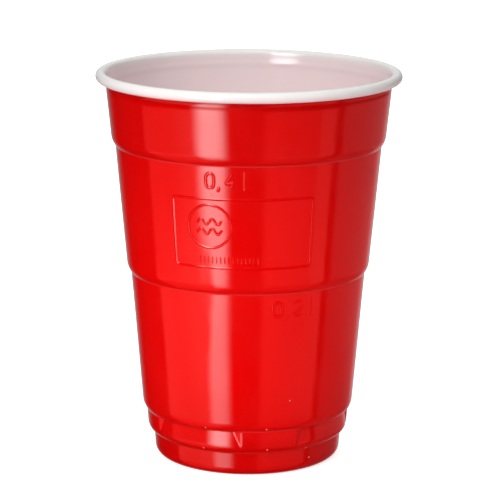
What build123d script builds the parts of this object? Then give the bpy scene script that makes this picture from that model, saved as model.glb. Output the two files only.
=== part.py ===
from build123d import *
from math import asin, atan, atan2, cos, degrees, hypot, radians, sin, tan
import os

# Plastic party cup, thermoformed from one sheet and sized in millimetres.
# The origin is the centre of the plane that the foot stands on, and +Z points up.
# The sheet is followed along its outer face, from the middle of the floor out to
# the tip of the rolled rim, given its thickness and turned about the axis.

# Sheet and overall size
sheet_thickness = 0.45
cup_height = 122.3
rim_diameter = 95.0

# Rolled rim
curl_diameter = 3.3
curl_turn = 300.0

# Foot, with the floor set up inside it
foot_diameter = 58.0
foot_height = 7.65
foot_taper = 3.7
foot_edge_radius = 3.0
standing_ring_width = 5.5
floor_recess = 3.5
floor_recess_taper = 15.0
floor_bend_radius = 1.2

# Stacking band, the short stage above the foot
band_height = 7.4
band_taper = 4.9
band_step = 1.75
band_shoulder = 2.8

# Long stages, each a step wider than the one below it
lower_stage_height = 44.3
lower_stage_taper = 5.0
middle_stage_height = 40.0
middle_stage_taper = 5.25
ledge_step = 1.0
ledge_shoulder = 3.0

# Undercuts in the stacking band, with a plain pad left between two of them
undercut_count = 4
undercut_depth = 0.95
pad_angle = 32.2
pad_centre_angle = -77.0
flank_angle = 21.0

# Derived levels of the stacking band: its two inside corners, and where its shoulder ends
band_level = foot_height
shoulder_level = band_level + band_shoulder
lower_level = band_level + band_height

# Derived sizes of the rolled rim
curl_radius = curl_diameter / 2
curl_inner_radius = curl_radius - sheet_thickness
curl_centre = Vector(rim_diameter / 2 - curl_radius, cup_height - curl_radius)


def run_out(taper, rise):
    """How far a wall of that taper leans outwards over a rise."""
    return rise * tan(radians(taper))


def band_radius(level):
    """Outer radius of the pads in the stacking band at that level."""
    foot_radius = foot_diameter / 2 + run_out(foot_taper, foot_height)
    return foot_radius + band_step + run_out(band_taper, level - band_level)


# Derived radii of the stacking band: the undercut wall at its top, and a line clear of it
undercut_top_radius = band_radius(lower_level) - undercut_depth
outside_band = band_radius(lower_level) + ledge_step


def foot_profile():
    """Underside of the floor, its riser, the ring that the cup stands on and the foot wall."""
    foot_radius = foot_diameter / 2
    floor_radius = foot_radius - standing_ring_width
    corners = [
        (0, floor_recess),
        (floor_radius - run_out(floor_recess_taper, floor_recess), floor_recess),
        (floor_radius, 0),
        (foot_radius, 0),
        (foot_radius + run_out(foot_taper, foot_height), foot_height),
    ]
    bends = [floor_bend_radius, floor_bend_radius, foot_edge_radius]
    return FilletPolyline(*corners, radius=bends)


def stage_profile(corner, step, shoulder, taper, height):
    """A rounded shoulder out of the corner below, then a straight wall up to the next corner."""
    base_radius = corner.X + step
    spring = Vector(base_radius + run_out(taper, shoulder), corner.Y + shoulder)
    top = Vector(base_radius + run_out(taper, height), corner.Y + height)
    down_the_wall = Vector(-run_out(taper, 1), -1)
    turn = TangentArc(spring, corner, tangent=down_the_wall)
    return [turn, Line(spring, top)], top


def top_stage_taper(corner):
    """Taper that makes the top wall run smoothly into the inner circle of the curl."""
    reach = curl_centre - Vector(corner.X + ledge_step, corner.Y)
    towards_centre = atan2(reach.X, reach.Y)
    return degrees(towards_centre - asin(curl_inner_radius / reach.length))


def wall_profile():
    """Outer face of the sheet from the middle of the floor up to the start of the curl."""
    foot = foot_profile()
    band, corner = stage_profile(foot @ 1, band_step, band_shoulder, band_taper, band_height)
    lower, corner = stage_profile(
        corner, ledge_step, ledge_shoulder, lower_stage_taper, lower_stage_height
    )
    middle, corner = stage_profile(
        corner, ledge_step, ledge_shoulder, middle_stage_taper, middle_stage_height
    )
    taper = top_stage_taper(corner)
    rise = curl_centre.Y + curl_inner_radius * sin(radians(taper)) - corner.Y
    top, _ = stage_profile(corner, ledge_step, ledge_shoulder, taper, rise)
    return Wire(foot.edges() + band + lower + middle + top), taper


def sheet_section():
    """The whole sheet cut through the axis: the walls, then the curl rolled out and under."""
    walls, taper = wall_profile()
    curl = Wire([CenterArc(curl_centre, curl_inner_radius, 180 - taper, -curl_turn)])
    thick_walls = make_face(walls.offset_2d(sheet_thickness, side=Side.LEFT))
    thick_curl = make_face(curl.offset_2d(sheet_thickness, side=Side.LEFT))
    return thick_walls + thick_curl


def undercut_ring():
    """Ring of air behind the pads' outer line: deep under the ledge, run out at the shoulder."""
    section = Polyline(
        (band_radius(shoulder_level), shoulder_level),
        (outside_band, shoulder_level),
        (outside_band, lower_level),
        (undercut_top_radius, lower_level),
        close=True,
    )
    return revolve(Plane.XZ * make_face(section), Axis.Z)


def lining_ring():
    """Ring of sheet that closes the wall behind the undercuts, one thickness further in."""
    lean = (band_radius(shoulder_level) - undercut_top_radius) / (lower_level - shoulder_level)
    skin = sheet_thickness * hypot(1, lean)
    drop = sheet_thickness * lean
    section = Polyline(
        (band_radius(shoulder_level) - skin + drop, shoulder_level - sheet_thickness),
        (band_radius(shoulder_level) - sheet_thickness / 2, shoulder_level),
        (band_radius(lower_level) - sheet_thickness / 2, lower_level),
        (band_radius(lower_level), lower_level + sheet_thickness),
        (undercut_top_radius - skin - drop, lower_level + sheet_thickness),
        close=True,
    )
    return revolve(Plane.XZ * make_face(section), Axis.Z)


def flank_plan():
    """Triangle seen from above, with the flanks at two pads' facing edges as its long sides."""
    half_span = radians(360 / undercut_count - pad_angle) / 2
    edge_x = band_radius(lower_level) * cos(half_span)
    edge_y = band_radius(lower_level) * sin(half_span)
    flank_slope = tan(radians(flank_angle))
    apex = edge_x - edge_y * flank_slope
    far_y = (outside_band - apex) / flank_slope
    corners = [(apex, 0), (outside_band, far_y), (outside_band, -far_y)]
    return make_face(Polyline(*corners, close=True))


def between_flanks(ring, growth):
    """The stretches of a ring that lie between the flanks, one for each undercut."""
    lean = degrees(atan(run_out(band_taper, 1) * cos(radians(flank_angle))))
    grown = growth + run_out(lean, band_height)
    base = Pos(Z=band_level) * offset(flank_plan(), grown, kind=Kind.INTERSECTION)
    prism = extrude(base, band_height + sheet_thickness, taper=lean)
    first = pad_centre_angle + 180 / undercut_count
    stretch = ring & prism
    return [Rot(Z=first + 360 / undercut_count * turn) * stretch for turn in range(undercut_count)]


def cup_solid():
    """The turned sheet, with its wall set back between the pads of the stacking band."""
    cup = revolve(Plane.XZ * sheet_section(), Axis.Z)
    cup = cup + between_flanks(lining_ring(), sheet_thickness)
    return cup - between_flanks(undercut_ring(), 0)


cup = cup_solid()
os.makedirs("parts", exist_ok=True)
export_step(cup, "parts/cup.step")
print("cup", cup.volume, cup.is_valid, len(cup.solids()), len(cup.faces()))
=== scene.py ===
from math import asin, atan2, cos, hypot, pi, radians, sin, tan

import bpy
import numpy as np
from mathutils import Matrix, Vector


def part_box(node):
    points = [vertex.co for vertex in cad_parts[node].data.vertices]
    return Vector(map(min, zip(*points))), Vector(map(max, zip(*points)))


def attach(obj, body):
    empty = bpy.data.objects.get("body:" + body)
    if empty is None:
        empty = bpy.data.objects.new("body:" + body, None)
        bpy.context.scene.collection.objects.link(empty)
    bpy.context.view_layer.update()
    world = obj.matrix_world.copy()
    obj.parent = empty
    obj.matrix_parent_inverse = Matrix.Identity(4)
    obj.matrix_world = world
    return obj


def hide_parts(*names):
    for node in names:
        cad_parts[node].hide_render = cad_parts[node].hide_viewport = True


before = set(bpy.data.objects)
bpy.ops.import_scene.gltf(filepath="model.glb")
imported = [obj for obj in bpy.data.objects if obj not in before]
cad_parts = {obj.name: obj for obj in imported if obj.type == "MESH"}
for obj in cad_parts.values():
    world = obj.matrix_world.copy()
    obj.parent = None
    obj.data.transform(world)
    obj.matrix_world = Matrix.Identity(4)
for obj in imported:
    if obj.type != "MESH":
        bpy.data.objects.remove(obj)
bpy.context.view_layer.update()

# Tall party cup of thin two-coloured sheet, red outside and white inside. In order: sizes,
# the sheet's section and mesh, the raised marks on it, materials, camera, studio, and the
# calls that make them all.

CUP_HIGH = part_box("cup")[1]

# A millimetre, in Blender's metres
MM = 0.001

# Sizes of the cup in millimetres, and angles in degrees. The height and the rim are read
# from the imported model, and the others follow the driving sizes of the part, but for the
# radius at which the floor's rows start.
CUP_HEIGHT = CUP_HIGH.z / MM
RIM_RADIUS = CUP_HIGH.x / MM
SHEET = 0.45

CURL_RADIUS = 1.65
CURL_TURN = 300.0

FOOT_RADIUS = 29.0
FOOT_HEIGHT = 7.65
FOOT_TAPER = 3.7
FOOT_EDGE = 3.0
STANDING_RING = 5.5
FLOOR_RECESS = 3.5
FLOOR_TAPER = 15.0
FLOOR_BEND = 1.2
FLOOR_START = 2.0

BAND_HEIGHT = 7.4
BAND_TAPER = 4.9
BAND_STEP = 1.75
BAND_SHOULDER = 2.8

LOWER_HEIGHT = 44.3
LOWER_TAPER = 5.0
MIDDLE_HEIGHT = 40.0
MIDDLE_TAPER = 5.25
LEDGE_STEP = 1.0
LEDGE_SHOULDER = 3.0

UNDERCUTS = 4
UNDERCUT_DEPTH = 0.95
PAD_ANGLE = 32.2
PAD_CENTRE = -77.0
FLANK_ANGLE = 21.0

# Levels of the inside corners
BAND_LEVEL = FOOT_HEIGHT
LOWER_LEVEL = BAND_LEVEL + BAND_HEIGHT
MIDDLE_LEVEL = LOWER_LEVEL + LOWER_HEIGHT
TOP_LEVEL = MIDDLE_LEVEL + MIDDLE_HEIGHT

# How far up the band's shoulder the undercuts start, and how soft their edges are
UNDERCUT_START = 1.6
UNDERCUT_SOFTNESS = 0.12
FLANK_SOFTNESS = 0.7

# Softness of the inside corners, and the painted highlight line just above each, which
# stands in for the thin light line that the ledges catch: its rise, half width and strength
CORNER_SOFTNESS = 0.25
HIGHLIGHT_LINE_RISE = 0.1
HIGHLIGHT_LINE_REACH = 0.35
HIGHLIGHT_LINE_STRENGTH = 0.08

# Shallow ridge round the inside, just under the rim: its level, depth and reach, and how
# many reaches below it the finer rows of the wall start
RIM_RIDGE_LEVEL = CUP_HEIGHT - 4.5
RIM_RIDGE_DEPTH = 0.16
RIM_RIDGE_REACH = 0.95
RIM_RIDGE_START = 2.6

# Unevenness of the thin wall. Upright swells: how many go round it, how far they are turned
# to the left, and their height. Climbing swells: how many go round it, how many degrees of
# their wave each millimetre upwards adds, and their height
SWELLS = 6
SWELL_TURN = 15
SWELL_HEIGHT = 0.03
CLIMBS = 4
CLIMB_RATE = 5
CLIMB_HEIGHT = 0.04

# The unevenness fades out over so many millimetres above the band, and below its end near
# the rim
FADE_AT_FOOT = 8
FADE_AT_RIM = 45
UNEVEN_END = TOP_LEVEL + 12

# Dents: angle from the front, level, how far each reaches left and right in degrees, and
# up and down in millimetres, and its depth
DENTS = (
    (-20.5, 63, 14, 4, 8, 0.3),
    (-24, 51, 14, 4, 6, 0.25),
    (-17, 72, 5, 5, 4, 0.12),
    (150, 40, 9, 9, 8, 0.2),
)

# Fineness of the meshes: how many columns go round, and for the finer ones at a pad's edge
# their step and how far they reach over the pad and into the undercut, in degrees
COLUMNS = 216
FLANK_COLUMN_STEP = 0.35
FLANK_COLUMN_REACH = (-1.5, 6.6)

# How far the second point of a straight run is from its end, in millimetres and at most as
# a share of the run, and the least gap that is left below finer rows
GUARD = 0.35
GUARD_SHARE = 0.2
ROW_GAP = 0.5

# How many points each stretch of the section has
FLAT_ROWS = 2
BEND_ROWS = 5
FOOT_EDGE_ROWS = 9
BAND_ROWS = 13
WALL_ROWS = 7
SHOULDER_ROWS = 7
CORNER_ROWS = 3
RIM_RIDGE_ROWS = 13
CURL_ROWS_OUTSIDE = 28
CURL_ROWS_INSIDE = 12

# Raised lines: points that their curves are drawn with, the even step that the path is then
# divided into, in millimetres, and the points up the slope
OVAL_POINTS = 64
QUARTER_POINTS = 7
BOW_POINTS = 20
WAVE_POINTS = 40
PATH_STEP = 0.16
SLOPE_POINTS = 6


# The sheet's section, as points (radius, height) in millimetres

def lean(taper, rise):
    """How far a wall of that taper leans outwards over a rise."""
    return rise * tan(radians(taper))


def straight(start, end, rows):
    """Even points from start to end, with one more close to each end, which keeps the
    shading of the bends out of the flat of the wall."""
    start, end = np.asarray(start, float), np.asarray(end, float)
    guard = min(GUARD_SHARE, GUARD / np.linalg.norm(end - start))
    share = np.concatenate([[0.0], np.linspace(guard, 1 - guard, rows), [1.0]])
    return start + share[:, None] * (end - start)


def arc(centre, radius, first, turn, rows):
    """Points on a circle, from angle first over turn, both in degrees."""
    angle = np.radians(first + np.linspace(0, turn, rows))
    ring = np.stack([np.cos(angle), np.sin(angle)], axis=1)
    return np.asarray(centre, float) + radius * ring


def bend(before, corner, after, radius, rows):
    """Circle of that radius that touches both straight runs at a corner, as points."""
    before, corner, after = (np.asarray(p, float) for p in (before, corner, after))
    back = (before - corner) / np.linalg.norm(before - corner)
    ahead = (after - corner) / np.linalg.norm(after - corner)
    half = np.arccos(back @ ahead) / 2
    middle = (back + ahead) / np.linalg.norm(back + ahead)
    centre = corner + middle * radius / np.sin(half)
    start = corner + back * radius / np.tan(half) - centre
    end = corner + ahead * radius / np.tan(half) - centre
    first = np.degrees(np.arctan2(start[1], start[0]))
    turn = np.degrees(np.arctan2(start[0] * end[1] - start[1] * end[0], start @ end))
    return arc(centre, radius, first, turn, rows)


def shoulder(corner, step, rise, taper, rows):
    """Arc from an inside corner up to the wall above, which it meets smoothly.

    The wall starts a step further out. With w the way from the wall's start to the corner
    and n the wall's inward normal, the radius is w.w / (2 w.n).
    """
    corner = np.asarray(corner, float)
    spring = corner + (step + lean(taper, rise), rise)
    inward = np.array([-cos(radians(taper)), sin(radians(taper))])
    way = corner - spring
    radius = way @ way / (2 * way @ inward)
    centre = spring + radius * inward
    low, high = (atan2(p[1] - centre[1], p[0] - centre[0]) for p in (corner, spring))
    return arc(centre, radius, np.degrees(low), np.degrees(high - low), rows)


def cut_back(points, reach):
    """The same run, ended a reach before its last point."""
    steps = np.linalg.norm(np.diff(points, axis=0), axis=1)
    left = np.concatenate([np.cumsum(steps[::-1])[::-1], [0.0]])
    kept = points[left > reach]
    share = (left[len(kept) - 1] - reach) / steps[len(kept) - 1]
    end = kept[-1] + share * (points[len(kept)] - kept[-1])
    return np.vstack([kept, end])


def soft_corner(below, above):
    """The two runs at an inside corner, each cut back, and the small curve between them."""
    corner = below[-1]
    below = cut_back(below, CORNER_SOFTNESS)
    above = cut_back(above[::-1], CORNER_SOFTNESS)[::-1]
    t = np.linspace(0, 1, CORNER_ROWS + 2)[1:-1, None]
    curve = (1 - t) ** 2 * below[-1] + 2 * t * (1 - t) * corner + t**2 * above[0]
    return below, curve, above


def foot_run():
    """Underside of the floor, riser, standing ring, rounded edge and foot wall."""
    opening = FOOT_RADIUS - STANDING_RING
    middle = (0.0, FLOOR_RECESS)
    floor_edge = (opening - lean(FLOOR_TAPER, FLOOR_RECESS), FLOOR_RECESS)
    ring_edge = (opening, 0.0)
    foot_edge = (FOOT_RADIUS, 0.0)
    top = (FOOT_RADIUS + lean(FOOT_TAPER, FOOT_HEIGHT), FOOT_HEIGHT)
    inner_bend = bend(middle, floor_edge, ring_edge, FLOOR_BEND, BEND_ROWS)
    outer_bend = bend(floor_edge, ring_edge, foot_edge, FLOOR_BEND, BEND_ROWS)
    edge = bend(ring_edge, foot_edge, top, FOOT_EDGE, FOOT_EDGE_ROWS)
    floor = straight((FLOOR_START, FLOOR_RECESS), inner_bend[0], FLAT_ROWS)
    wall = straight(edge[-1], top, FLAT_ROWS)
    return np.vstack([floor[:-1], inner_bend, outer_bend, edge, wall[1:]])


def wall_run(corner, step, rise, taper, height, rows):
    """Shoulder and straight wall of one stage, and the corner that the wall ends in."""
    top = np.asarray(corner, float) + (step + lean(taper, height), height)
    turn = shoulder(corner, step, rise, taper, SHOULDER_ROWS)
    return turn, straight(turn[-1], top, rows), top


def with_rim_ridge(wall):
    """The top wall with more rows near its upper end, where it bulges inwards by a bell
    curve: depth times exp(-(distance from the ridge's level / reach) squared)."""
    low = RIM_RIDGE_LEVEL - RIM_RIDGE_START * RIM_RIDGE_REACH
    start = wall[0] + (wall[-1] - wall[0]) * (low - wall[0, 1]) / (wall[-1, 1] - wall[0, 1])
    near = np.linspace(0, 1, RIM_RIDGE_ROWS)[:, None] * (wall[-1] - start) + start
    wall = np.vstack([wall[wall[:, 1] < low - ROW_GAP], near])
    bulge = np.exp(-(((wall[:, 1] - RIM_RIDGE_LEVEL) / RIM_RIDGE_REACH) ** 2))
    wall[:, 0] -= RIM_RIDGE_DEPTH * bulge
    return wall


def curl_centre():
    """Centre of the rolled rim's circle in the section."""
    return np.array([RIM_RADIUS - CURL_RADIUS, CUP_HEIGHT - CURL_RADIUS])


def red_face():
    """Outer face of the sheet, from near the middle of the floor to the curl's start.

    Returns the points, each point's share of the undercut's depth at its level, how much
    of the undercut that point keeps, and the top wall's taper in degrees.
    """
    foot = foot_run()
    turn_b, wall_b, corner_b = wall_run(
        foot[-1], BAND_STEP, BAND_SHOULDER, BAND_TAPER, BAND_HEIGHT, BAND_ROWS
    )
    turn_l, wall_l, corner_l = wall_run(
        corner_b, LEDGE_STEP, LEDGE_SHOULDER, LOWER_TAPER, LOWER_HEIGHT, WALL_ROWS
    )
    turn_m, wall_m, corner_m = wall_run(
        corner_l, LEDGE_STEP, LEDGE_SHOULDER, MIDDLE_TAPER, MIDDLE_HEIGHT, WALL_ROWS
    )
    inner = CURL_RADIUS - SHEET
    way = curl_centre() - corner_m - (LEDGE_STEP, 0)
    taper = np.degrees(atan2(way[0], way[1]) - asin(inner / hypot(*way)))
    rise = way[1] + inner * sin(radians(taper))
    turn_t, wall_t, _ = wall_run(corner_m, LEDGE_STEP, LEDGE_SHOULDER, taper, rise, WALL_ROWS)
    wall_t = with_rim_ridge(wall_t)

    foot, corner_1, turn_b = soft_corner(foot, turn_b)
    wall_b, corner_2, turn_l = soft_corner(wall_b, turn_l)
    wall_l, corner_3, turn_m = soft_corner(wall_l, turn_m)
    wall_m, corner_4, turn_t = soft_corner(wall_m, turn_t)
    runs = [foot, corner_1, turn_b, wall_b[1:], corner_2, turn_l, wall_l[1:], corner_3]
    runs += [turn_m, wall_m[1:], corner_4, turn_t, wall_t[1:]]
    points = np.vstack(runs)

    first = len(runs[0]) + len(runs[1])
    last = first + len(runs[2]) + len(runs[3])
    deep = np.zeros(len(points))
    low = BAND_LEVEL + UNDERCUT_START
    deep[first:last] = (points[first:last, 1] - low) / (LOWER_LEVEL - low)
    corner = slice(last, last + CORNER_ROWS)
    deep[corner] = 1
    keep = (deep > 0).astype(float)
    keep[corner] = np.linspace(1, 0, CORNER_ROWS + 2)[1:-1]
    return points, np.clip(deep, 0, 1), keep, taper


def sheet_loop():
    """The sheet's whole section: red face, inside of the curl, tip, outside of the curl and
    white face. The white face is the red one moved inwards by the sheet's thickness."""
    red, deep, keep, taper = red_face()
    slope = np.gradient(red, axis=0)
    normal = np.stack([-slope[:, 1], slope[:, 0]], axis=1)
    white = red + SHEET * normal / np.linalg.norm(normal, axis=1)[:, None]
    white[0, 0] = red[0, 0]
    start = 180 - taper
    inner = arc(curl_centre(), CURL_RADIUS - SHEET, start, -CURL_TURN, CURL_ROWS_INSIDE)
    outer = arc(curl_centre(), CURL_RADIUS, start - CURL_TURN, CURL_TURN, CURL_ROWS_OUTSIDE)
    tip = (inner[-1] + outer[0]) / 2
    tip_out = tip + 0.5 * SHEET * np.array(
        [sin(radians(start - CURL_TURN)), -cos(radians(start - CURL_TURN))]
    )
    curl = np.vstack([inner[1:], tip_out, outer[:-1]])
    none = np.zeros(len(curl))
    points = np.vstack([red, curl, white[::-1]])
    deep = np.concatenate([deep, none, deep[::-1]])
    keep = np.concatenate([keep, none, keep[::-1]])
    red_rows = len(red) + CURL_ROWS_INSIDE - 1
    return points, deep, keep, red_rows


def column_angles():
    """Angles round the cup in degrees: even ones, and finer ones at the pads' edges."""
    even = np.arange(COLUMNS) * 360 / COLUMNS
    half = (360 / UNDERCUTS - PAD_ANGLE) / 2
    centres = PAD_CENTRE + 180 / UNDERCUTS + 360 / UNDERCUTS * np.arange(UNDERCUTS)
    fine = half - np.arange(*FLANK_COLUMN_REACH, FLANK_COLUMN_STEP)
    fine = (centres[:, None] + np.concatenate([fine, -fine])).ravel() % 360
    apart = np.abs((even[:, None] - fine + 180) % 360 - 180).min(axis=1)
    return np.sort(np.concatenate([even[apart > FLANK_COLUMN_STEP], fine]))


def smooth_ramp(x, soft):
    """x above zero and 0 below it, rounded over soft on both sides."""
    middle = (x + soft) ** 2 / (4 * soft)
    return np.where(x > soft, x, np.where(x < -soft, 0, middle))


def smooth_least(a, b, soft):
    """The smaller of a and b, rounded where they are nearly equal."""
    near = np.maximum(soft - np.abs(a - b), 0) / soft
    return np.minimum(a, b) - near**2 * soft / 4


def undercut_drop(angle, deep, keep):
    """How far the wall stands back, for each row and column, in millimetres.

    From a pad's edge the flank falls by the tangent of its angle until it meets the
    undercut wall, which is set back by the undercut's depth under the ledge and by
    nothing where the undercut starts, on the shoulder.
    """
    half = (360 / UNDERCUTS - PAD_ANGLE) / 2
    centre = PAD_CENTRE + 180 / UNDERCUTS
    pitch = 360 / UNDERCUTS
    off = np.abs((angle - centre + pitch / 2) % pitch - pitch / 2)
    past_edge = np.radians(half - off) * (FOOT_RADIUS + BAND_STEP)
    flank = smooth_ramp(past_edge, FLANK_SOFTNESS) * tan(radians(FLANK_ANGLE))
    wall = (UNDERCUT_DEPTH * deep)[:, None] + np.zeros_like(flank)
    drop = smooth_least(flank[None, :], wall, UNDERCUT_SOFTNESS)
    return np.maximum(drop, 0) * keep[:, None]


def wall_wave(angle, height):
    """Slow unevenness of the thin wall, in millimetres outwards: the sines of the upright
    and the climbing swells, less a bell curve for each dent. All of it fades out towards
    the rim and foot. The angle is from the front, in degrees."""
    above_foot = np.clip((height - LOWER_LEVEL) / FADE_AT_FOOT, 0, 1)
    below_rim = np.clip((UNEVEN_END - height) / FADE_AT_RIM, 0, 1)
    swell = SWELL_HEIGHT * np.sin(np.radians(SWELLS * (angle + SWELL_TURN)))
    climb = CLIMB_HEIGHT * np.sin(np.radians(CLIMBS * angle + CLIMB_RATE * height))
    wave = swell + climb
    for at_angle, at_height, left, right, tall, depth in DENTS:
        off = (angle - at_angle + 180) % 360 - 180
        across = off / np.where(off < 0, left, right)
        wave = wave - depth * np.exp(-(across**2) - ((height - at_height) / tall) ** 2)
    return above_foot * below_rim * wave


def turned_mesh(name, radius, height, angle):
    """Closed mesh of a section turned about the axis: vertex (row, column) stands at that
    radius, height and angle, and each end row is closed by one point on the axis."""
    rows, columns = radius.shape
    turn = np.radians(angle)
    grid = np.stack([radius * np.cos(turn), radius * np.sin(turn), height], axis=2)
    ends = [(0, 0, height[0].mean()), (0, 0, height[-1].mean())]
    vertices = np.vstack([grid.reshape(-1, 3), ends]) * MM
    row, column = np.meshgrid(np.arange(rows - 1), np.arange(columns), indexing="ij")
    after = (column + 1) % columns
    here = row * columns
    above = here + columns
    quads = np.stack([here + column, here + after, above + after, above + column], 2)
    around = np.arange(columns)
    beside = (around + 1) % columns
    last = (rows - 1) * columns
    first_fan = np.stack([np.full(columns, rows * columns), beside, around], 1)
    last_fan = np.stack([np.full(columns, rows * columns + 1), last + around, last + beside], 1)
    faces = quads.reshape(-1, 4).tolist() + first_fan.tolist() + last_fan.tolist()
    mesh = bpy.data.meshes.new(name)
    mesh.from_pydata(vertices, [], faces)
    mesh.shade_smooth()
    return mesh


def painted_ledge_highlights(height):
    """Strength of the painted highlight along the ledges' edges, a thin pale line that stands
    in for the light they catch: highest there and 0 away from them."""
    levels = np.array([BAND_LEVEL, LOWER_LEVEL, MIDDLE_LEVEL, TOP_LEVEL])
    away = np.abs(height[:, None] - levels - HIGHLIGHT_LINE_RISE).min(axis=1)
    return HIGHLIGHT_LINE_STRENGTH * np.clip(1 - away / HIGHLIGHT_LINE_REACH, 0, 1)


def make_cup():
    """The sheet's section turned about the axis, with the undercuts let into the band."""
    points, deep, keep, red_rows = sheet_loop()
    angle = column_angles()
    drop = undercut_drop(angle, deep, keep)
    wave = wall_wave(angle[None, :] + 90, points[:, 1:])
    radius = points[:, :1] - drop + wave
    height = points[:, 1:] + np.zeros_like(drop)
    mesh = turned_mesh("cup_sheet", radius, height, angle)
    strips = len(points) - 1
    slots = np.ones(len(mesh.polygons), int)
    slots[: red_rows * len(angle)] = 0
    slots[strips * len(angle): (strips + 1) * len(angle)] = 0
    mesh.polygons.foreach_set("material_index", slots)
    # Painted highlight line along each ledge, as a point attribute for the red material
    painted_highlight = np.append(np.repeat(painted_ledge_highlights(points[:, 1]), len(angle)), [0, 0])
    mesh.attributes.new("painted_highlight", "FLOAT", "POINT").data.foreach_set("value", painted_highlight)
    return add_piece("cup_sheet", mesh, red_sheet(), white_sheet())


# The raised figures and lines: a rounded or flat-topped profile carried along a path that
# is drawn on the unrolled wall, in millimetres along the wall and upwards

# Points of the outer face, from above the level of the floor up to the curl
WALL_POINTS = red_face()[0]
WALL_POINTS = WALL_POINTS[WALL_POINTS[:, 1] > FLOOR_RECESS + 1]

# Depths of a raised line's underside and of its edges below the wall's face, and the least
# share of its width and rise that is left where an open end rounds off
RELIEF_ROOT = 0.12
RELIEF_SINK = 0.01
END_LEAST = 0.05

# Figures and their strokes: width, rise, and how wide the stroke's sloping edge is
DIGIT_HEIGHT = 5.5
DIGIT_WIDTH = 3.7
STROKE = 1.15
STROKE_RISE = 0.28
STROKE_EDGE = 0.45

# Thinner lines: width and rise
LINE = 0.9
LINE_RISE = 0.19

# How boxy the nought is, the comma's line and how much higher than the figures' foot it is
# drawn, and how far the stroke for litre reaches down and up
NOUGHT_SQUARENESS = 2.7
COMMA_LINE = ((0.25, 0.7), (-0.3, -1.0))
COMMA_LIFT = 0.3
LITRE_REACH = (-3.0, 3.3)

# Volume marks: name, figure after the comma, angles of the four characters from the front,
# level, and the share of the full rise for the nought and for the rest
VOLUME_MARKS = (
    ("upper_volume_mark", "four", (-16.2, -12.5, -7.7, -1.65), 94.9, (1, 1)),
    ("lower_volume_mark", "two", (14.6, 19.4, 24.6, 31.5), 54.5, (0.5, 0.28)),
)

# Border and ring: angle of the middle from the front, level, and size. The border's span is
# in degrees
BORDER_ANGLE = -2.45
BORDER_LEVEL = 78.55
BORDER_SPAN = 62.9
BORDER_HEIGHT = 21.3
BORDER_CORNER = 1.2
RING_ANGLE = -16.9
RING_LEVEL = 80.7
RING_DIAMETER = 13.4

# The two waves in the ring: half length, half height, turns, and how far off the middle
WAVE_REACH = 3.9
WAVE_HEIGHT = 0.9
WAVE_TURNS = 2.2
WAVE_OFFSET = 1.5

# The row of bars: angles from the front, level, half length, width and rise
BAR_ANGLES = np.linspace(-21.5, 4.6, 15)
BAR_LEVEL = 70.3
BAR_HALF = 1.1
BAR_WIDTH = 0.5
BAR_RISE = 0.18

# The dots left by the mould's air holes: angle from the front and level of each, half
# length, width, rise, and the strength of the painted highlight that makes them pale
PIP_PLACES = (
    (-23.1, 16.0), (10.6, 16.0), (-25.6, 8.9), (11.6, 9.0), (37.5, 7.8), (40.8, 4.3),
    (22.7, 25.0), (-15.4, 90.6),
)
PIP_HALF = 0.2
PIP_WIDTH = 0.7
PIP_RISE = 0.35
PIP_HIGHLIGHT = 0.8


def on_wall(along, up, angle, level, lift):
    """Points in space for places drawn on the unrolled wall. The drawing's origin is at
    that angle from the front and that level, and lift is the height above the wall."""
    height = level + up
    radius = np.interp(height, WALL_POINTS[:, 1], WALL_POINTS[:, 0])
    turn = np.radians(angle) + along / np.interp(level, WALL_POINTS[:, 1], WALL_POINTS[:, 0])
    radius = radius + wall_wave(np.degrees(turn), height) + lift
    return np.stack([radius * np.sin(turn), -radius * np.cos(turn), height], axis=-1)


def even_steps(path, step, closed):
    """The path, divided into even steps."""
    path = np.asarray(path, float)
    if closed:
        path = np.vstack([path, path[:1]])
    length = np.concatenate([[0], np.cumsum(np.linalg.norm(np.diff(path, axis=0), axis=1))])
    count = max(3, int(np.ceil(length[-1] / step)) + 1)
    at = np.linspace(0, length[-1], count)
    even = np.stack([np.interp(at, length, path[:, i]) for i in (0, 1)], axis=1)
    return even[:-1] if closed else even


def ridge(path, width, rise, angle, level, closed=False, edge=None):
    """A raised line. Across the path its height goes up to rise over the given edge width,
    as 0.8 parts of a straight slope and 0.2 of a rounded one, and its open ends are rounded.

    Returns the points of each cross-section, as an array (place along the path, place
    round the section, xyz), and whether the line is closed.
    """
    edge = width / 2 if edge is None else edge
    path = even_steps(path, PATH_STEP, closed)
    if closed:
        way = np.roll(path, -1, axis=0) - np.roll(path, 1, axis=0)
    else:
        way = np.gradient(path, axis=0)
    way /= np.linalg.norm(way, axis=1)[:, None]
    side = np.stack([-way[:, 1], way[:, 0]], axis=1)
    climbing = np.linspace(0, edge, SLOPE_POINTS)
    across = np.unique(np.concatenate([climbing, width - climbing]).round(5))
    inwards = np.minimum(across, width - across)
    slope = np.minimum(inwards / edge, 1)
    height = rise * (0.8 * slope + 0.1 * (1 - np.cos(pi * slope)))
    ends = np.ones(len(path))
    if not closed:
        steps = np.linalg.norm(np.diff(path, axis=0), axis=1)
        run = np.concatenate([[0], np.cumsum(steps)])
        near = np.minimum(run, run[-1] - run) / (width / 2)
        ends = np.sqrt(1 - (1 - np.clip(near, END_LEAST, 1)) ** 2)
    offset = (across - width / 2)[None, :] * ends[:, None]
    lift = height[None, :] * ends[:, None] - RELIEF_SINK
    place = path[:, None, :] + offset[:, :, None] * side[:, None, :]
    top = on_wall(place[..., 0], place[..., 1], angle, level, lift)
    low = on_wall(place[:, [-1, 0], 0], place[:, [-1, 0], 1], angle, level, -RELIEF_ROOT)
    return np.concatenate([top, low], axis=1), closed


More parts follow.
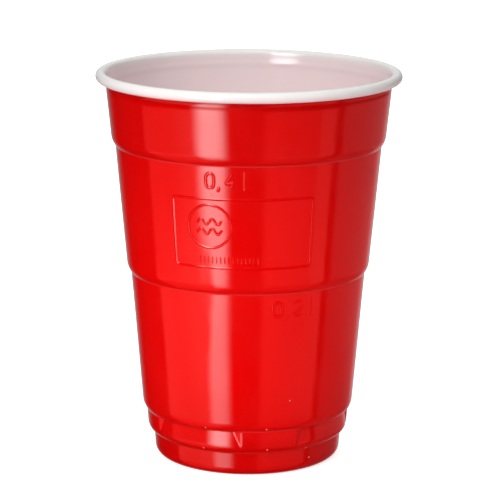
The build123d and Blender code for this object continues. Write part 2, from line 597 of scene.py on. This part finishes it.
def joined_mesh(name, ridges):
    """One closed mesh of all the ridges: each ring of points is joined to the next, and
    an open line's first and last rings are filled."""
    vertices, faces, start = [], [], 0
    for grid, closed in ridges:
        count, ring = grid.shape[:2]
        row, column = np.meshgrid(np.arange(count if closed else count - 1), np.arange(ring))
        row, column = row.ravel(), column.ravel()
        after_row, after_column = (row + 1) % count, (column + 1) % ring
        quad = [
            row * ring + column,
            after_row * ring + column,
            after_row * ring + after_column,
            row * ring + after_column,
        ]
        faces += (np.stack(quad, axis=1) + start).tolist()
        if not closed:
            faces.append((start + np.arange(ring)).tolist())
            faces.append((start + (count - 1) * ring + np.arange(ring)[::-1]).tolist())
        vertices.append(grid.reshape(-1, 3))
        start += count * ring
    mesh = bpy.data.meshes.new(name)
    mesh.from_pydata(np.vstack(vertices) * MM, [], faces)
    mesh.shade_smooth()
    return mesh


def oval(width, height, squareness):
    """Closed oval: a circle for squareness 2, and boxier above that."""
    t = np.linspace(0, 2 * pi, OVAL_POINTS, endpoint=False)
    power = 2 / squareness
    across = np.sign(np.cos(t)) * np.abs(np.cos(t)) ** power * width / 2
    up = np.sign(np.sin(t)) * np.abs(np.sin(t)) ** power * height / 2
    return np.stack([across, up], axis=1)


def rounded_box(width, height, radius):
    """Closed rectangle with rounded corners, from four quarter circles."""
    across, up = width / 2 - radius, height / 2 - radius
    centres = [(across, up), (-across, up), (-across, -up), (across, -up)]
    quarters = [
        arc(centre, radius, 90 * turn, 90, QUARTER_POINTS) for turn, centre in enumerate(centres)
    ]
    return np.vstack(quarters)


def figure_strokes(drawing, angle, level, rise):
    """Ridges of one figure, in strokes of one width. The places on a figure are shares of
    half its width and height, both up to the middle of the stroke."""
    wide = (DIGIT_WIDTH - STROKE) / 2
    tall = (DIGIT_HEIGHT - STROKE) / 2
    if drawing == "nought":
        paths = [(oval(2 * wide, 2 * tall, NOUGHT_SQUARENESS), True)]
    elif drawing == "two":
        bow = arc((0, tall - wide), wide, 165, -205, BOW_POINTS)
        paths = [(np.vstack([bow, [(-wide, -tall), (wide, -tall)]]), False)]
    elif drawing == "four":
        slant = [(0.55 * wide, tall), (-wide, -0.35 * tall), (1.15 * wide, -0.35 * tall)]
        stem = [(0.6 * wide, 0.3 * tall), (0.6 * wide, -tall)]
        paths = [(slant, False), (stem, False)]
    else:
        paths = [(COMMA_LINE, False)]
    return [
        ridge(path, STROKE, rise, angle, level, closed, STROKE_EDGE)
        for path, closed in paths
    ]


def volume_mark(name, second_figure, angles, level, clearness):
    """A volume figure in litres: nought, comma, figure and a tall thin stroke for litre."""
    nought, comma, figure, litre = angles
    clear, faint = clearness
    foot = level - DIGIT_HEIGHT / 2 + COMMA_LIFT
    ridges = figure_strokes("nought", nought, level, clear * STROKE_RISE)
    ridges += figure_strokes("comma", comma, foot, faint * STROKE_RISE)
    ridges += figure_strokes(second_figure, figure, level, faint * STROKE_RISE)
    upright = [(0, up) for up in LITRE_REACH]
    ridges.append(ridge(upright, LINE, faint * LINE_RISE, litre, level))
    add_piece(name, joined_mesh(name, ridges), red_sheet())


def make_lines():
    """Plain rectangular border, and inside it a ring with two waves, which are sines."""
    radius = np.interp(BORDER_LEVEL, WALL_POINTS[:, 1], WALL_POINTS[:, 0])
    border = rounded_box(radians(BORDER_SPAN) * radius, BORDER_HEIGHT, BORDER_CORNER)
    ring = oval(RING_DIAMETER, RING_DIAMETER, 2)
    ridges = [
        ridge(border, LINE, LINE_RISE, BORDER_ANGLE, BORDER_LEVEL, closed=True),
        ridge(ring, LINE, LINE_RISE, RING_ANGLE, RING_LEVEL, closed=True),
    ]
    t = np.linspace(-1, 1, WAVE_POINTS)
    for lift in (WAVE_OFFSET, -WAVE_OFFSET):
        up = lift + WAVE_HEIGHT * np.sin(WAVE_TURNS * pi * t)
        wave = np.stack([WAVE_REACH * t, up], axis=1)
        ridges.append(ridge(wave, LINE, LINE_RISE, RING_ANGLE, RING_LEVEL))
    add_piece("border_lines", joined_mesh("border_lines", ridges), red_sheet())


def make_bars():
    """Row of short upright bars along the border's lower side."""
    bar = [(0, -BAR_HALF), (0, BAR_HALF)]
    ridges = [ridge(bar, BAR_WIDTH, BAR_RISE, angle, BAR_LEVEL) for angle in BAR_ANGLES]
    add_piece("bar_row", joined_mesh("bar_row", ridges), red_sheet())


def make_pips():
    """Small dots left by the mould's air holes, made pale by a painted highlight in place of their
    glints.
    """
    dot = [(0, -PIP_HALF), (0, PIP_HALF)]
    ridges = [ridge(dot, PIP_WIDTH, PIP_RISE, *place) for place in PIP_PLACES]
    mesh = joined_mesh("pips", ridges)
    # Painted highlight over each whole dot
    painted_highlight = np.full(len(mesh.vertices), PIP_HIGHLIGHT)
    mesh.attributes.new("painted_highlight", "FLOAT", "POINT").data.foreach_set("value", painted_highlight)
    add_piece("pips", mesh, red_sheet())


def add_piece(name, mesh, *materials):
    """Object for a piece of the cup, riding on its one body."""
    piece = bpy.data.objects.new(name, mesh)
    bpy.context.scene.collection.objects.link(piece)
    for material in materials:
        mesh.materials.append(material)
    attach(piece, "root")
    return piece


# Materials

# Red at heights in millimetres: the cup's own red, with painted shade and light by height
# over it: darker towards the rim and the foot, brightest up the middle of the wall
SHADED_REDS = (
    (4.0, (0.65, 0.0005, 0.0005)),
    (11.0, (0.69, 0.0005, 0.0005)),
    (13.5, (0.74, 0.0005, 0.0005)),
    (18.0, (0.75, 0.0005, 0.0005)),
    (30.0, (0.80, 0.0005, 0.0005)),
    (62.0, (0.79, 0.0005, 0.0005)),
    (82.0, (0.74, 0.0005, 0.0005)),
    (97.0, (0.67, 0.0005, 0.0005)),
    (104.0, (0.62, 0.0005, 0.0005)),
    (120.0, (0.60, 0.0005, 0.0005)),
)
# Pale pink of the painted highlights on the ledges' edges and on the pips
HIGHLIGHT_PINK = (0.9, 0.35, 0.33)
RED_STREAKS = (0.97, 1.03)

# The white face is neutral down to the first depth below the rim, and pink from the second
WHITE = (0.86, 0.855, 0.83)
PINK = (0.85, 0.70, 0.71)
WHITE_TO_PINK = (0.6, 3.0)
PINK_STREAKS = (0.9, 1.0)

# Moulded surface: scales of its patterns, how far the streaks are drawn out upwards, the
# range of the patches' noise that is used, and heights of the bumps in metres
STREAK_SCALE = 260.0
STREAK_STRETCH = (1, 1, 0.12)
PATCH_SCALE = 70.0
PATCH_RANGE = (0.35, 0.65)
BUMP_SCALE = 85.0
BUMP_HEIGHT = 0.0002
GRAIN_SCALE = 1800.0
GRAIN_HEIGHT = 0.000004

# Finishes: unevenness, smoothest roughness and dullest roughness
RED_FINISH = (0.35, 0.07, 0.12)
WHITE_FINISH = (0.12, 0.1, 0.13)


def node(tree, kind, **inputs):
    """Node of that kind, with values or sockets for its inputs by name."""
    made = tree.nodes.new(kind)
    for name, value in inputs.items():
        socket = made.inputs[name.replace("_", " ")]
        if isinstance(value, bpy.types.NodeSocket):
            tree.links.new(value, socket)
        else:
            socket.default_value = value
    return made


def moulded_surface():
    """Node group for the formed sheet: slow unevenness of the wall, fine grain, upright
    draw streaks and patches that are a little duller."""
    if "moulded_surface" in bpy.data.node_groups:
        return bpy.data.node_groups["moulded_surface"]
    tree = bpy.data.node_groups.new("moulded_surface", "ShaderNodeTree")
    sockets = [
        ("Unevenness", "INPUT", "NodeSocketFloat"),
        ("Smoothest", "INPUT", "NodeSocketFloat"),
        ("Dullest", "INPUT", "NodeSocketFloat"),
        ("Streaks", "OUTPUT", "NodeSocketFloat"),
        ("Roughness", "OUTPUT", "NodeSocketFloat"),
        ("Normal", "OUTPUT", "NodeSocketVector"),
    ]
    for name, direction, kind in sockets:
        tree.interface.new_socket(name, in_out=direction, socket_type=kind)
    given = node(tree, "NodeGroupInput")
    result = node(tree, "NodeGroupOutput")
    place = node(tree, "ShaderNodeTexCoord").outputs["Object"]

    stretched = node(tree, "ShaderNodeMapping", Vector=place, Scale=STREAK_STRETCH)
    streaks = node(
        tree, "ShaderNodeTexNoise", Vector=stretched.outputs[0], Scale=STREAK_SCALE
    )
    tree.links.new(streaks.outputs["Fac"], result.inputs["Streaks"])

    patches = node(tree, "ShaderNodeTexNoise", Vector=place, Scale=PATCH_SCALE)
    dullness = node(
        tree,
        "ShaderNodeMapRange",
        Value=patches.outputs["Fac"],
        From_Min=PATCH_RANGE[0],
        From_Max=PATCH_RANGE[1],
        To_Min=given.outputs["Smoothest"],
        To_Max=given.outputs["Dullest"],
    )
    tree.links.new(dullness.outputs[0], result.inputs["Roughness"])

    swell = node(tree, "ShaderNodeTexNoise", Vector=place, Scale=BUMP_SCALE, Detail=1.0)
    uneven = node(
        tree,
        "ShaderNodeBump",
        Height=swell.outputs["Fac"],
        Distance=BUMP_HEIGHT,
        Strength=given.outputs["Unevenness"],
    )
    grain = node(tree, "ShaderNodeTexNoise", Vector=place, Scale=GRAIN_SCALE, Detail=2.0)
    fine = node(
        tree,
        "ShaderNodeBump",
        Height=grain.outputs["Fac"],
        Distance=GRAIN_HEIGHT,
        Strength=given.outputs["Unevenness"],
        Normal=uneven.outputs[0],
    )
    tree.links.new(fine.outputs[0], result.inputs["Normal"])
    return tree


def sheet_material(name, unevenness, smoothest, dullest):
    """Material with the moulded surface, whose colour is still to be linked."""
    material = bpy.data.materials.new(name)
    material.use_nodes = True
    tree = material.node_tree
    shader = tree.nodes["Principled BSDF"]
    surface = tree.nodes.new("ShaderNodeGroup")
    surface.node_tree = moulded_surface()
    surface.inputs["Unevenness"].default_value = unevenness
    surface.inputs["Smoothest"].default_value = smoothest
    surface.inputs["Dullest"].default_value = dullest
    tree.links.new(surface.outputs["Roughness"], shader.inputs["Roughness"])
    tree.links.new(surface.outputs["Normal"], shader.inputs["Normal"])
    return material, tree, shader, surface.outputs["Streaks"]


def maths(tree, operation, first, second):
    """Result of a sum or comparison between two sockets."""
    made = tree.nodes.new("ShaderNodeMath")
    made.operation = operation
    tree.links.new(first, made.inputs[0])
    tree.links.new(second, made.inputs[1])
    return made.outputs[0]


def colour_mix(tree, share, first, second):
    """Colour between two colours or sockets."""
    mix = tree.nodes.new("ShaderNodeMix")
    mix.data_type = "RGBA"
    for socket, value in ((mix.inputs[0], share), (mix.inputs[6], first), (mix.inputs[7], second)):
        if isinstance(value, bpy.types.NodeSocket):
            tree.links.new(value, socket)
        else:
            socket.default_value = (*value, 1)
    return mix.outputs[2]


def red_sheet():
    """Glossy red face with painted shade and light by height, faint upright streaks, and a
    paler painted highlight where its point attribute asks for one."""
    if "red_sheet" in bpy.data.materials:
        return bpy.data.materials["red_sheet"]
    material, tree, shader, streaks = sheet_material("red_sheet", *RED_FINISH)
    place = node(tree, "ShaderNodeTexCoord").outputs["Object"]
    height = node(tree, "ShaderNodeSeparateXYZ", Vector=place).outputs["Z"]
    level = node(tree, "ShaderNodeMapRange", Value=height, From_Max=CUP_HEIGHT * MM)
    # The red by height, with its painted shade and light
    shaded_reds = node(tree, "ShaderNodeValToRGB", Fac=level.outputs[0])
    stops = shaded_reds.color_ramp.elements
    for _ in SHADED_REDS[2:]:
        stops.new(0.5)
    for stop, (at, colour) in zip(stops, SHADED_REDS):
        stop.position = at / CUP_HEIGHT
        stop.color = (*colour, 1)
    # Each point's share of painted highlight, on the ledges' edges and the pips
    painted_highlight = tree.nodes.new("ShaderNodeAttribute")
    painted_highlight.attribute_name = "painted_highlight"
    least, most = RED_STREAKS
    shade = node(tree, "ShaderNodeMapRange", Value=streaks, To_Min=least, To_Max=most)
    streaked = node(tree, "ShaderNodeVectorMath", Vector=shaded_reds.outputs["Color"])
    streaked.operation = "SCALE"
    tree.links.new(shade.outputs[0], streaked.inputs["Scale"])
    colour = colour_mix(tree, painted_highlight.outputs["Fac"], streaked.outputs[0], HIGHLIGHT_PINK)
    tree.links.new(colour, shader.inputs["Base Color"])
    return material


def white_sheet():
    """White face: neutral on the rim, and pinker further down inside, where light comes
    through the thin wall from the red side."""
    if "white_sheet" in bpy.data.materials:
        return bpy.data.materials["white_sheet"]
    material, tree, shader, streaks = sheet_material("white_sheet", *WHITE_FINISH)
    place = node(tree, "ShaderNodeTexCoord").outputs["Object"]
    height = node(tree, "ShaderNodeSeparateXYZ", Vector=place).outputs["Z"]
    white_above, pink_below = ((CUP_HEIGHT - depth) * MM for depth in WHITE_TO_PINK)
    depth = node(
        tree, "ShaderNodeMapRange", Value=height, From_Min=white_above, From_Max=pink_below
    )
    least, most = PINK_STREAKS
    pinkness = node(tree, "ShaderNodeMapRange", Value=streaks, To_Min=least, To_Max=most)
    share = maths(tree, "MULTIPLY", depth.outputs[0], pinkness.outputs[0])
    colour = colour_mix(tree, share, WHITE, PINK)
    tree.links.new(colour, shader.inputs["Base Color"])
    return material


# Camera, fitted to the photograph, which is 500 pixels wide and 499 high: focal length in
# pixels, sensor and place in millimetres, pitch and roll in degrees, and the nearest
# distance that it shows, in metres
IMAGE_WIDTH = 500
FOCAL_PIXELS = 2544.0
SENSOR_WIDTH = 36.0
CAMERA_PLACE = (0.59, -779.65, 238.4)
CAMERA_PITCH = 12.516
CAMERA_ROLL = 0.297
CAMERA_NEAR = 0.01


def make_camera():
    """Camera at its place, looking along +Y, tilted down and rolled a little."""
    data = bpy.data.cameras.new("camera")
    data.sensor_fit = "HORIZONTAL"
    data.sensor_width = SENSOR_WIDTH
    data.lens = FOCAL_PIXELS / IMAGE_WIDTH * SENSOR_WIDTH
    data.clip_start = CAMERA_NEAR
    camera = bpy.data.objects.new("camera", data)
    bpy.context.scene.collection.objects.link(camera)
    tilt = Matrix.Rotation(radians(90 - CAMERA_PITCH), 4, "X")
    roll = Matrix.Rotation(radians(CAMERA_ROLL), 4, "Z")
    camera.matrix_world = Matrix.Translation(Vector(CAMERA_PLACE) * MM) @ tilt @ roll
    bpy.context.scene.camera = camera


# Studio: pale floor, soft lamps for the light, and cards for the reflections

# Floor: half its side in metres, its two tints, the scale of the pattern that they make,
# and its roughness
FLOOR_HALF_SIDE = 4.0
FLOOR_TINTS = ((0.80, 0.80, 0.80), (0.84, 0.84, 0.84))
FLOOR_MOTTLE = 14.0
FLOOR_ROUGHNESS = 0.9

# Distance in metres from the cup's axis and the floor's own brightness there. It changes
# evenly between the two
FLOOR_NEAR = (0.1, 0.7)
FLOOR_FAR = (0.6, 1.0)

# The world's faint light
WORLD_LIGHT = 0.03

# Dim globe: radius in metres, glow, the latitude at which its closed ends start, and how
# many rows and columns it has
ROOM_RADIUS = 3.0
ROOM_GLOW = (0.015, 0.01, 0.01)
ROOM_END = 85
ROOM_ROWS = 35
ROOM_COLUMNS = 72

# How many columns and rows a card has for its glow
CARD_COLUMNS = 49
CARD_ROWS = 129

# Lamps: name, azimuth, elevation, distance, width and height in metres, and power in watts
LAMPS = (
    ("key_lamp", -40, 35, 0.9, 0.5, 0.5, 3.9),
    ("front_lamp", 0, 35, 0.9, 0.5, 0.5, 1.9),
    ("right_lamp", 85, 35, 0.9, 0.5, 0.5, 1.3),
    ("back_lamp", 180, 35, 0.9, 0.5, 0.5, 3.4),
    ("top_lamp", 0, 80, 1.2, 1.0, 1.0, 4.8),
    ("low_lamp", -20, 1, 0.45, 0.3, 0.1, 0.35),
)

# How a card's glow changes upwards: pairs of height in metres and share of its light
STRIP = (
    (-0.18, 0.0), (-0.165, 0.5), (-0.15, 0.62), (-0.09, 0.75), (-0.03, 0.7), (0.05, 0.15),
    (0.15, 0.3), (0.22, 1.0), (0.7, 1.0),
)
LOW_STRIP = (
    (-0.6, 0.0), (-0.36, 0.1), (-0.3, 0.4), (-0.27, 0.26), (-0.235, 0.36), (-0.2, 0.4),
    (-0.18, 0.42), (-0.165, 0.0),
)
RED_GLOW = ((-1.5, 0.7), (-0.4, 0.8), (-0.33, 1.0), (-0.15, 1.0), (-0.11, 0.0))
PALE_GLOW = (
    (-1.5, 0.2), (-0.41, 0.5), (-0.37, 1.0), (-0.28, 1.0), (-0.24, 0.55), (-0.15, 0.45),
    (-0.11, 0.0),
)
EDGE_GLOW = ((-0.36, 0.0), (-0.28, 1.0), (-0.15, 1.0), (-0.11, 0.0))
SIDE_GLOW = ((-1.5, 0.3), (-0.36, 0.45), (-0.3, 0.7), (-0.25, 1.0), (-0.06, 1.0), (0.0, 0.0))
EVEN_GLOW = ((-2.6, 1.0), (1.6, 1.0))

# Cards: name, azimuths of the two upright edges, glow upwards, distance in metres, light,
# and the share of the width over which the glow rises at the left and at the right edge
CARDS = (
    ("strip_card", (-48, -14.5), STRIP, 0.6, (9.8, 9.8, 9.8), (0.4, 0.37)),
    ("low_strip_card", (-45, -14.5), LOW_STRIP, 0.61, (9.8, 9.8, 9.8), (0.36, 0.4)),
    ("left_red_card", (-96, -25), RED_GLOW, 0.9, (2.2, 0.0, 0.0), (0.04, 0.3)),
    ("left_pale_card", (-96, -25), PALE_GLOW, 0.91, (0.3, 0.3, 0.26), (0.04, 0.3)),
    ("skirt_card", (-72, -30), RED_GLOW, 0.92, (0.4, 0.25, 0.22), (0.7, 0.3)),
    ("left_back_card", (-150, -98), SIDE_GLOW, 0.93, (0.35, 0.0, 0.0), (0.1, 0.1)),
    ("right_red_card", (10, 77), RED_GLOW, 0.9, (2.0, 0.0, 0.0), (0.12, 0.04)),
    ("right_pale_card", (10, 77), PALE_GLOW, 0.91, (0.17, 0.17, 0.15), (0.12, 0.04)),
    ("right_edge_card", (60, 77), EDGE_GLOW, 0.92, (0.1, 0.12, 0.1), (0.12, 0.1)),
    ("side_card", (81, 165), SIDE_GLOW, 0.92, (0.6, 0.18, 0.18), (0.06, 0.1)),
    ("back_card", (140, 220), EVEN_GLOW, 1.6, (0.5, 0.5, 0.5), (0.45, 0.45)),
)


def seen_or_mirrored(tree):
    """1 for rays from the camera, from gloss and through glass, and 0 for the rest."""
    rays = node(tree, "ShaderNodeLightPath")
    seen = [rays.outputs[f"Is {kind} Ray"] for kind in ("Camera", "Glossy", "Transmission")]
    return maths(tree, "MAXIMUM", maths(tree, "MAXIMUM", *seen[:2]), seen[2])


def make_floor():
    """Large pale floor. Seen directly it is white but for the cup's shadow, and the cup's
    gloss doesn't show it."""
    far = FLOOR_HALF_SIDE
    corners = [(-far, -far, 0), (far, -far, 0), (far, far, 0), (-far, far, 0)]
    mesh = bpy.data.meshes.new("floor")
    mesh.from_pydata(corners, [], [(0, 1, 2, 3)])
    floor = bpy.data.objects.new("floor", mesh)
    bpy.context.scene.collection.objects.link(floor)
    floor.visible_glossy = False

    material = bpy.data.materials.new("floor")
    material.use_nodes = True
    tree = material.node_tree
    shader = tree.nodes["Principled BSDF"]
    shader.inputs["Roughness"].default_value = FLOOR_ROUGHNESS
    shader.inputs["Specular IOR Level"].default_value = 0.0
    place = node(tree, "ShaderNodeTexCoord").outputs["Object"]
    mottle = node(tree, "ShaderNodeTexNoise", Vector=place, Scale=FLOOR_MOTTLE)
    colour = colour_mix(tree, mottle.outputs["Fac"], *FLOOR_TINTS)
    tree.links.new(colour, shader.inputs["Base Color"])
    away = node(tree, "ShaderNodeVectorMath", Vector=place)
    away.operation = "LENGTH"
    glow = node(
        tree,
        "ShaderNodeMapRange",
        Value=away.outputs["Value"],
        From_Min=FLOOR_NEAR[0],
        From_Max=FLOOR_FAR[0],
        To_Min=FLOOR_NEAR[1],
        To_Max=FLOOR_FAR[1],
    )
    shader.inputs["Emission Color"].default_value = (1, 1, 1, 1)
    strength = maths(tree, "MULTIPLY", glow.outputs[0], seen_or_mirrored(tree))
    tree.links.new(strength, shader.inputs["Emission Strength"])
    mesh.materials.append(material)


def stand(thing, azimuth, elevation, distance):
    """Puts a lamp or card at a place round the cup, facing its middle. Azimuth 0 is on the
    camera's side, and it grows to the right as seen from there."""
    a, e = radians(azimuth), radians(elevation)
    aim = Vector((0, 0, CUP_HEIGHT / 2 * MM))
    place = aim + distance * Vector((sin(a) * cos(e), -cos(a) * cos(e), sin(e)))
    thing.location = place
    thing.rotation_euler = (aim - place).to_track_quat("-Z", "Y").to_euler()


def softbox(name, azimuth, elevation, distance, width, height, power):
    """Area lamp that lights the cup and doesn't show in its gloss."""
    data = bpy.data.lights.new(name, "AREA")
    data.shape = "RECTANGLE"
    data.size = width
    data.size_y = height
    data.energy = power
    lamp = bpy.data.objects.new(name, data)
    bpy.context.scene.collection.objects.link(lamp)
    stand(lamp, azimuth, elevation, distance)
    lamp.visible_glossy = False


def only_in_reflections(thing, light, brightness=None):
    """Makes a card of a thing: it glows in that light, which is a colour times a strength,
    where its attribute of that name says so, and only reflections show it. The glows of
    cards that stand behind one another add up. With no attribute it glows evenly and
    hides what is behind."""
    material = bpy.data.materials.new(thing.name)
    material.use_nodes = True
    material.cycles.emission_sampling = "NONE"
    tree = material.node_tree
    tree.nodes.remove(tree.nodes["Principled BSDF"])
    strength = max(light)
    colour = (*(part / strength for part in light), 1)
    lit = node(tree, "ShaderNodeEmission", Color=colour, Strength=strength)
    shown = lit.outputs[0]
    if brightness:
        share = tree.nodes.new("ShaderNodeAttribute")
        share.attribute_name = brightness
        level = node(tree, "ShaderNodeMapRange", Value=share.outputs["Fac"], To_Max=strength)
        tree.links.new(level.outputs[0], lit.inputs["Strength"])
        both = tree.nodes.new("ShaderNodeAddShader")
        tree.links.new(lit.outputs[0], both.inputs[0])
        tree.links.new(tree.nodes.new("ShaderNodeBsdfTransparent").outputs[0], both.inputs[1])
        shown = both.outputs[0]
    tree.links.new(shown, tree.nodes["Material Output"].inputs["Surface"])
    thing.data.materials.append(material)
    for rays in ("camera", "diffuse", "transmission", "volume_scatter", "shadow"):
        setattr(thing, f"visible_{rays}", False)


def card(name, azimuths, shares, distance, light, sides):
    """Upright curved card that only reflections show, between two azimuths.

    Its glow rises smoothly from 0 at each upright edge over that share of the width, and
    shares gives pairs of height in metres and share of the light.
    """
    heights, levels = zip(*shares)
    across, up = np.linspace(0, 1, CARD_COLUMNS), np.linspace(0, 1, CARD_ROWS)
    angle = np.radians(azimuths[0] + across * (azimuths[1] - azimuths[0]))
    height = heights[0] + up * (heights[-1] - heights[0])
    level = height[:, None] + np.zeros(len(angle))
    line = distance * np.stack([np.sin(angle), -np.cos(angle)], axis=1)
    grid = np.concatenate([np.broadcast_to(line, (*level.shape, 2)), level[..., None]], axis=2)
    rows, columns = level.shape
    row, column = np.meshgrid(np.arange(rows - 1), np.arange(columns - 1), indexing="ij")
    first = (row * columns + column).ravel()
    faces = np.stack([first, first + columns, first + columns + 1, first + 1], axis=1)
    mesh = bpy.data.meshes.new(name)
    mesh.from_pydata(grid.reshape(-1, 3), [], faces.tolist())
    rise = np.minimum(across / sides[0], 1) * np.minimum((1 - across) / sides[1], 1)
    glow = np.outer(np.interp(height, heights, levels), rise**2 * (3 - 2 * rise))
    mesh.attributes.new("glow", "FLOAT", "POINT").data.foreach_set("value", glow.ravel())
    screen = bpy.data.objects.new(name, mesh)
    bpy.context.scene.collection.objects.link(screen)
    only_in_reflections(screen, light, "glow")


def make_dark_room():
    """Dim globe round the studio that only reflections show, so that the gloss stays deep
    between the cards, as with dark screens round a white table."""
    up = np.radians(np.linspace(-ROOM_END, ROOM_END, ROOM_ROWS))[:, None]
    angle = np.linspace(0, 360, ROOM_COLUMNS, endpoint=False)
    radius = ROOM_RADIUS / MM * np.cos(up) + np.zeros(len(angle))
    height = ROOM_RADIUS / MM * np.sin(up) + np.zeros(len(angle))
    room = bpy.data.objects.new("dark_room", turned_mesh("dark_room", radius, height, angle))
    bpy.context.scene.collection.objects.link(room)
    only_in_reflections(room, ROOM_GLOW)


def make_world():
    """White backdrop where the camera looks past the floor, and otherwise a faint even
    light: the lamps and cards give the rest. Metal and glass would show it too."""
    world = bpy.data.worlds.new("studio")
    world.use_nodes = True
    bpy.context.scene.world = world
    tree = world.node_tree
    level = node(
        tree, "ShaderNodeMapRange", Value=seen_or_mirrored(tree), To_Min=WORLD_LIGHT, To_Max=1.0
    )
    tree.links.new(level.outputs[0], tree.nodes["Background"].inputs["Strength"])
    tree.nodes["Background"].inputs["Color"].default_value = (1, 1, 1, 1)


# The cup

cup = make_cup()
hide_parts("cup")
for mark in VOLUME_MARKS:
    volume_mark(*mark)
make_lines()
make_bars()
make_pips()

# Camera and studio

make_camera()
make_floor()
make_world()
for lamp in LAMPS:
    softbox(*lamp)
for row in CARDS:
    card(*row)
make_dark_room()

bpy.context.scene.view_settings.view_transform = "Standard"
